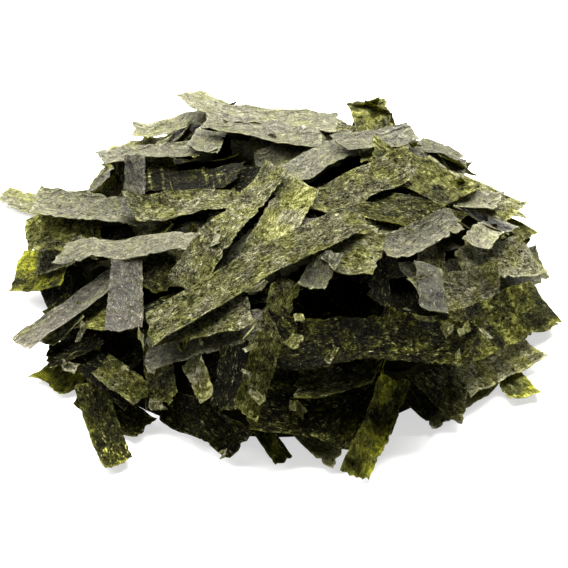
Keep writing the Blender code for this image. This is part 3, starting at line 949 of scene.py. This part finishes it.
def core_ground(ground):
    """The heap's hidden middle as ground, a little lower than the strips that lie on it."""
    core = Ground()
    x, y = core.places()
    depth = np.where(y > MOUND_Y, CORE_BACK_DEPTH, CORE_FRONT_DEPTH)
    filled = np.maximum(core.z - CORE_GAP, lowest_near(ground.z, CORE_MARGIN) - depth)
    out = np.hypot(x - MOUND_X, y - MOUND_Y)
    wall = (core_edge(np.arctan2(y - MOUND_Y, x - MOUND_X)) - out) * CORE_WALL
    core.z = np.maximum(0, np.where(y > MOUND_Y, np.minimum(filled, wall), filled))
    return core


def lay_skirt(core, rng):
    """Short strips that lean on the steep back of the core."""
    skirt = []
    for t in np.linspace(*SKIRT_TURN, SKIRT):
        t = t + rng.uniform(-SKIRT_SHIFT, SKIRT_SHIFT)
        out = core_edge(t) - rng.uniform(*SKIRT_INSET)
        x = MOUND_X + out * math.cos(t)
        y = MOUND_Y + out * math.sin(t)
        turn = math.degrees(t) + rng.uniform(-SKIRT_LEAN, SKIRT_LEAN)
        strip = Strip(Laid(x, y, turn, rng.uniform(*SKIRT_LENGTH), rng.uniform(*SKIRT_WIDTH)), rng)
        strip.settle(core)
        skirt.append(strip)
    return skirt


def core_piece(core):
    """The heap's hidden middle as a dark mound."""
    bm = bmesh.new()
    segments = 2 * (CORE_RINGS + 1)
    bmesh.ops.create_uvsphere(bm, u_segments=CORE_SPOKES, v_segments=segments, radius=1)
    bmesh.ops.delete(bm, geom=[v for v in bm.verts if v.co.z < -0.01], context="VERTS")
    foot = [v for v in bm.verts if v.co.z < 0.01]
    bmesh.ops.holes_fill(bm, edges=[edge for edge in bm.edges if edge.is_boundary])
    rng = np.random.default_rng(SEED)
    for v in bm.verts:
        rough = rng.uniform(-CORE_ROUGHNESS, 0)
        ring = math.acos(min(1, v.co.z)) * segments / math.pi
        t = math.atan2(v.co.y, v.co.x)
        r = min(1, ring / CORE_RINGS) * float(core_edge(t))
        x = MOUND_X + r * math.cos(t)
        y = MOUND_Y + r * math.sin(t)
        z = max(CORE_EDGE, float(core.z[core.cell(np.array(x), np.array(y))]))
        z = FLOOR_CLEAR if v in foot else z + rough
        v.co = Vector((x - MIDDLE[0], y - MIDDLE[1], z)) * MM
    bmesh.ops.triangulate(bm, faces=bm.faces)
    bmesh.ops.recalc_face_normals(bm, faces=bm.faces)
    mesh = bpy.data.meshes.new("dark_core")
    bm.to_mesh(mesh)
    bm.free()
    mesh.materials.append(shaded_core_material())
    piece = bpy.data.objects.new("dark_core", mesh)
    bpy.context.scene.collection.objects.link(piece)
    return piece


def some_look(rng, strip, kinds):
    """The kind of sheet that a strip is torn from, no two quite alike."""
    look = np.array(strip.look or kinds[rng.integers(len(kinds))], dtype=float)
    look[:2] += rng.normal(0, 0.05, 2)
    return look


def lay_flakes(ground, rng):
    """Crumbs of the sheet, strewn over the heap."""
    flakes = []
    while len(flakes) < FLAKES:
        x, y = rng.uniform(-FLAKE_REACH, FLAKE_REACH, 2)
        if FLAKE_START < math.hypot(x, y) < FLAKE_REACH and y < FLAKE_BACK:
            length, width = rng.uniform(*FLAKE_SIZE, 2)
            flake = Strip(Laid(x + MOUND_X, y + MOUND_Y, rng.uniform(0, 180), length, width), rng)
            flake.settle(ground)
            flakes.append(flake)
    return flakes


def aim(thing, target):
    way = Vector(target) - thing.location
    thing.rotation_euler = way.to_track_quat("-Z", "Y").to_euler()


def soft_light(name, place, width, height, power):
    """A softbox that faces the heap."""
    light = bpy.data.lights.new(name, "AREA")
    light.shape = "RECTANGLE"
    light.size = width
    light.size_y = height
    light.energy = power
    light.color = LAMP_COLOUR
    lamp = bpy.data.objects.new(name, light)
    lamp.location = place
    aim(lamp, (0, 0, 0))
    bpy.context.scene.collection.objects.link(lamp)


def stage():
    """The white floor and the light, which comes from behind."""
    bm = bmesh.new()
    bmesh.ops.create_grid(bm, x_segments=1, y_segments=1, size=FLOOR_HALF)
    mesh = bpy.data.meshes.new("floor")
    bm.to_mesh(mesh)
    bm.free()
    mesh.materials.append(plain_material("floor_white", FLOOR_COLOUR, 0.7))
    surface = mesh.materials[0].node_tree.nodes["Principled BSDF"]
    surface.inputs["Emission Color"].default_value = (1, 1, 1, 1)
    surface.inputs["Emission Strength"].default_value = FLOOR_GLOW
    floor = bpy.data.objects.new("floor", mesh)
    bpy.context.scene.collection.objects.link(floor)
    world = bpy.data.worlds.new("studio")
    world.use_nodes = True
    background = world.node_tree.nodes["Background"]
    background.inputs["Color"].default_value = SKY_COLOUR
    background.inputs["Strength"].default_value = SKY
    bpy.context.scene.world = world
    bpy.context.scene.view_settings.view_transform = "Standard"
    soft_light("back_softbox", (-0.05, 0.72, 0.65), 1.3, 0.7, 120)
    soft_light("left_softbox", (-0.75, 0.35, 0.45), 0.6, 0.5, 14)


def camera():
    """The camera at the photo's angle."""
    lens = bpy.data.cameras.new("camera")
    lens.lens = LENS
    lens.sensor_width = SENSOR
    eye = bpy.data.objects.new("camera", lens)
    elevation = math.radians(CAMERA_ELEVATION)
    target = Vector((-MIDDLE[0], -MIDDLE[1], 0)) * MM
    back = Vector((0, -math.cos(elevation), math.sin(elevation)))
    eye.location = target + back * CAMERA_DISTANCE
    aim(eye, target)
    bpy.context.scene.collection.objects.link(eye)
    bpy.context.scene.camera = eye


def dressed_heap():
    """The heap as five pieces: its core, three kinds of strips and the flakes."""
    under, outer, ground = lay_heap()
    rng = np.random.default_rng(SEED + 1)
    back_rng = np.random.default_rng(SEED + 3)
    hidden = Sheets("hidden_strips")
    smooth = Sheets("smooth_strips")
    rough = Sheets("rough_strips")
    crumbs = Sheets("flakes")
    flakes = lay_flakes(ground, rng)
    for laid in BACKING:
        strip = Strip(laid, rng)
        strip.settle(Ground())
        under.append(strip)
    # The hidden strips and those behind the heap are painted shade.
    for strip in under:
        fine_strip(strip, hidden, rng, some_look(rng, strip, [PAINTED_SHADE]), HIDDEN_PITCH)
    core = core_ground(ground)
    dark_core = core_piece(core)
    for strip in lay_skirt(core, np.random.default_rng(SEED + 2)):
        fine_strip(strip, hidden, back_rng, some_look(back_rng, strip, BACK_KINDS), HIDDEN_PITCH)
    for laid in INFILL:
        strip = Strip(laid, back_rng)
        strip.settle(core)
        outer.append(strip)
    # Strips at the front take darker kinds: painted shade.
    for strip in outer:
        look = some_look(rng, strip, FRONT_SHADE_KINDS if strip.y < FRONT else BACK_KINDS)
        fine_strip(strip, smooth if look[2] > 0.5 else rough, rng, look, FINE_PITCH)
    for flake in flakes:
        fine_strip(flake, crumbs, rng, some_look(rng, flake, FLAKE_KINDS), FLAKE_PITCH)
    rough_side = nori_material("nori_rough", False)
    return [
        dark_core,
        hidden.make(rough_side),
        smooth.make(nori_material("nori_smooth", True)),
        rough.make(rough_side),
        crumbs.make(rough_side),
    ]


def main():
    for name in ("Cube", "Light", "Camera"):
        old = bpy.data.objects.get(name)
        if old:
            bpy.data.objects.remove(old, do_unlink=True)
    camera()
    stage()
    for piece in dressed_heap():
        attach(piece, BODY)
        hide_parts(NODE)


main()
